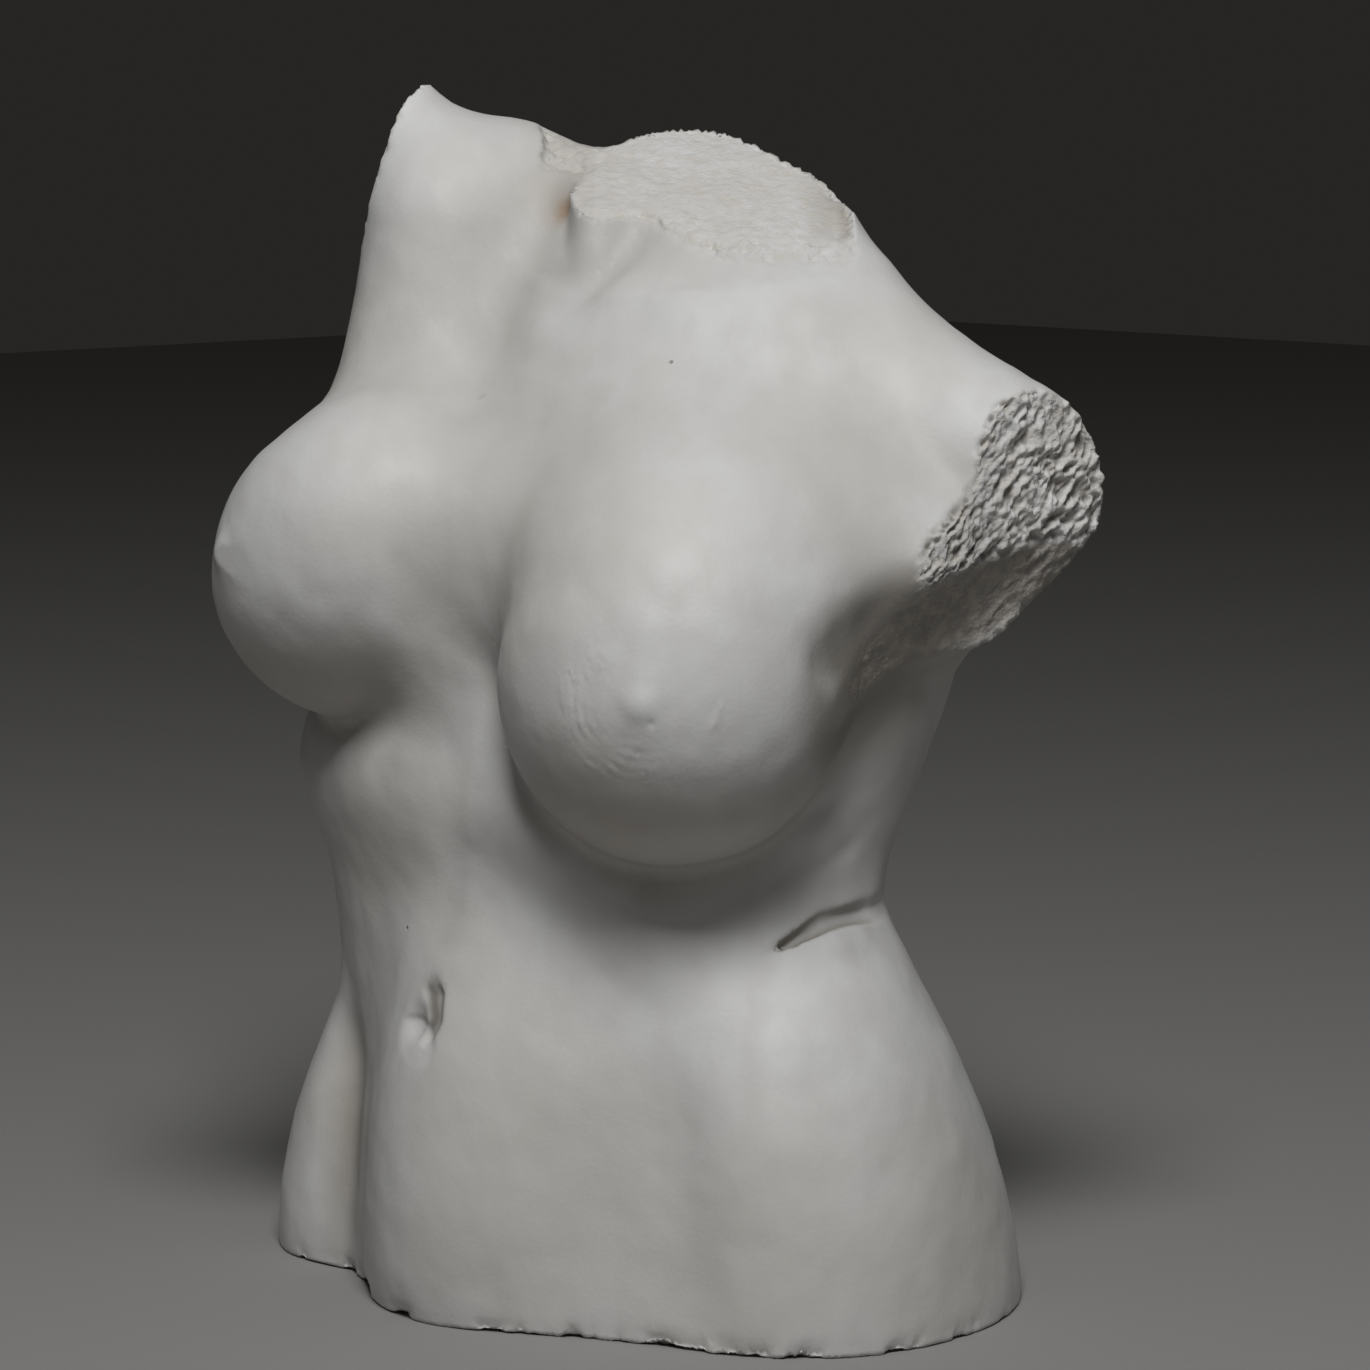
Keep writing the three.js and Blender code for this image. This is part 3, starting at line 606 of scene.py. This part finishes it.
plaster_skin = bpy.data.meshes.new("plaster_skin")
plaster_skin.from_pydata((points / 1000).tolist(), [], triangles.tolist())
plaster_skin.polygons.foreach_set("use_smooth", [True] * len(plaster_skin.polygons))
torso = bpy.data.objects.new("plaster_skin", plaster_skin)
bpy.context.scene.collection.objects.link(torso)
for name, amounts in dict(hollow=hollow, edge=edge, broken=broken, stain=stain, recess=recess, shade=shade).items():
    layer = plaster_skin.attributes.new(name, "FLOAT", "POINT")
    layer.data.foreach_set("value", amounts.astype(np.float32))

# The finish: dry white plaster, faintly mottled and streaked by the brush, with darker pinholes and lighter rubbed
# edges. Painted shade darkens its hollows, undersides and recesses, and a painted highlight lightens the navel's floor.
CLEAN_PLASTER, WARM_PLASTER = (0.73, 0.73, 0.725), (0.655, 0.635, 0.60)
BLOTCHED_PLASTER, BRUSHED_PLASTER = (0.66, 0.65, 0.63), (0.62, 0.605, 0.58)
RUBBED_EDGE_AND_NAVEL_HIGHLIGHT, BROKEN_PLASTER = (0.78, 0.775, 0.76), (0.62, 0.57, 0.50)
# Colours of the painted shade in hollows, on undersides and in recesses.
HOLLOW_PAINTED_SHADE, PAINTED_SHADE_COLOUR, RECESS_PAINTED_SHADE = (0.36, 0.34, 0.305), (0.37, 0.34, 0.295), (0.20, 0.185, 0.165)
BROWN_STAIN, PINHOLE = (0.36, 0.235, 0.14), (0.38, 0.35, 0.31)

plaster = bpy.data.materials.new("plaster")
plaster.use_nodes = True
nodes, links = plaster.node_tree.nodes, plaster.node_tree.links
shader = nodes["Principled BSDF"]
shader.inputs["Specular IOR Level"].default_value = 0.35
place = nodes.new("ShaderNodeTexCoord").outputs["Object"]


def noise(scale, detail=3, stretch=(1, 1, 1)):
    mapping = nodes.new("ShaderNodeMapping")
    mapping.inputs["Scale"].default_value = stretch
    links.new(place, mapping.inputs["Vector"])
    texture = nodes.new("ShaderNodeTexNoise")
    texture.inputs["Scale"].default_value = scale
    texture.inputs["Detail"].default_value = detail
    links.new(mapping.outputs["Vector"], texture.inputs["Vector"])
    return texture.outputs["Fac"]


def mask(name):
    node = nodes.new("ShaderNodeAttribute")
    node.attribute_name = name
    return node.outputs["Fac"]


def put_in(socket, value):
    if isinstance(value, (int, float)):
        socket.default_value = value
    elif isinstance(value, tuple):
        socket.default_value = (*value, 1)
    else:
        links.new(value, socket)


def combined(operation, a, b):
    node = nodes.new("ShaderNodeMath")
    node.operation = operation
    put_in(node.inputs[0], a)
    put_in(node.inputs[1], b)
    return node.outputs[0]


def between(value, low, high, to_low=0.0, to_high=1.0):
    node = nodes.new("ShaderNodeMapRange")
    node.inputs["From Min"].default_value, node.inputs["From Max"].default_value = low, high
    node.inputs["To Min"].default_value, node.inputs["To Max"].default_value = to_low, to_high
    links.new(value, node.inputs["Value"])
    return node.outputs["Result"]


def coloured(share, a, b):
    node = nodes.new("ShaderNodeMix")
    node.data_type = "RGBA"
    put_in(node.inputs["Factor"], share)
    put_in(node.inputs["A"], a)
    put_in(node.inputs["B"], b)
    return node.outputs["Result"]


streaks = noise(60, 4, (1, 1, 0.12))
pinholes = nodes.new("ShaderNodeTexVoronoi")
pinholes.inputs["Scale"].default_value = 45
links.new(place, pinholes.inputs["Vector"])
in_pinhole = between(pinholes.outputs["Distance"], 0.02, 0.055, 1, 0)
in_pinhole = combined("MULTIPLY", in_pinhole, between(noise(22, 1), 0.62, 0.7))
on_broken = combined("MULTIPLY", mask("broken"), between(noise(160, 3), 0.4, 0.7, 0, 0.5))
colour = CLEAN_PLASTER
for amount, tint in (
    (between(noise(9, 4), 0.38, 0.66), WARM_PLASTER),
    (between(noise(26, 4), 0.45, 0.72, 0, 0.5), BLOTCHED_PLASTER),
    (between(streaks, 0.45, 0.72, 0, 0.4), BRUSHED_PLASTER),
    # Painted shade in creases and small hollows.
    (between(mask("hollow"), 0.1, 0.6, 0, 0.75), HOLLOW_PAINTED_SHADE),
    # Painted shade in wide hollows, on undersides, along the groin and collar hollow and by the scoop.
    (between(mask("shade"), 0.15, 0.9, 0, 0.75), PAINTED_SHADE_COLOUR),
    # Painted shade in the stump's pits, on its front half, in the scoop and in the navel's slit.
    (between(mask("recess"), 0.0, 0.85, 0, 0.9), RECESS_PAINTED_SHADE),
    # Rubbed edges are lighter, and the navel's floor carries a painted highlight.
    (between(mask("edge"), 0.2, 0.7, 0, 0.5), RUBBED_EDGE_AND_NAVEL_HIGHLIGHT),
    (on_broken, BROKEN_PLASTER),
    (between(mask("stain"), 0.0, 0.7, 0, 0.8), BROWN_STAIN),
    (in_pinhole, PINHOLE),
):
    colour = coloured(amount, colour, tint)
links.new(colour, shader.inputs["Base Color"])
rough = combined("ADD", between(streaks, 0.35, 0.7, 0.5, 0.62), combined("MULTIPLY", mask("broken"), 0.3))
links.new(rough, shader.inputs["Roughness"])
height = combined("ADD", combined("MULTIPLY", streaks, 0.5), combined("MULTIPLY", noise(420, 2), 0.25))
height = combined("SUBTRACT", height, combined("MULTIPLY", in_pinhole, 2))
gritty = combined("MULTIPLY", mask("broken"), combined("MULTIPLY", noise(500, 3), 2))
bump = nodes.new("ShaderNodeBump")
bump.inputs["Strength"].default_value = 0.6
bump.inputs["Distance"].default_value = 0.0007
links.new(combined("ADD", height, gritty), bump.inputs["Height"])
links.new(bump.outputs["Normal"], shader.inputs["Normal"])
plaster_skin.materials.append(plaster)
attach(torso, "root")
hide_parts("plaster_torso")

# The floor is plain and pale, and it and the light are no part of the torso. Lengths in this section are metres.
FLOOR_HALF, FLOOR_COLOUR, FLOOR_ROUGHNESS = 6, (0.31, 0.305, 0.30, 1), 0.9
ROOM_COLOUR, ROOM_STRENGTH = (0.8, 0.76, 0.7, 1), 0.025
LIGHT_AT, LIGHT_AIM, LIGHT_WIDTH, LIGHT_POWER = Vector((1.18, -1.12, 2.46)), Vector((0, 0, 0.3)), 0.9, 51

floor_mesh = bpy.data.meshes.new("floor")
floor_corners = [(x * FLOOR_HALF, y * FLOOR_HALF, 0) for x, y in ((-1, -1), (1, -1), (1, 1), (-1, 1))]
floor_mesh.from_pydata(floor_corners, [], [(0, 1, 2, 3)])
floor = bpy.data.objects.new("floor", floor_mesh)
bpy.context.scene.collection.objects.link(floor)
floor_finish = bpy.data.materials.new("floor")
floor_finish.use_nodes = True
floor_finish.node_tree.nodes["Principled BSDF"].inputs["Base Color"].default_value = FLOOR_COLOUR
floor_finish.node_tree.nodes["Principled BSDF"].inputs["Roughness"].default_value = FLOOR_ROUGHNESS
floor_mesh.materials.append(floor_finish)

world = bpy.data.worlds.new("studio")
world.use_nodes = True
world.node_tree.nodes["Background"].inputs["Color"].default_value = ROOM_COLOUR
world.node_tree.nodes["Background"].inputs["Strength"].default_value = ROOM_STRENGTH
bpy.context.scene.world = world
bpy.context.scene.view_settings.view_transform = "Standard"
light_data = bpy.data.lights.new("key light", "AREA")
light_data.size = LIGHT_WIDTH
light_data.energy = LIGHT_POWER
light = bpy.data.objects.new("key light", light_data)
light.location = LIGHT_AT
light.rotation_mode = "QUATERNION"
light.rotation_quaternion = (LIGHT_AIM - LIGHT_AT).to_track_quat("-Z", "Y")
bpy.context.scene.collection.objects.link(light)
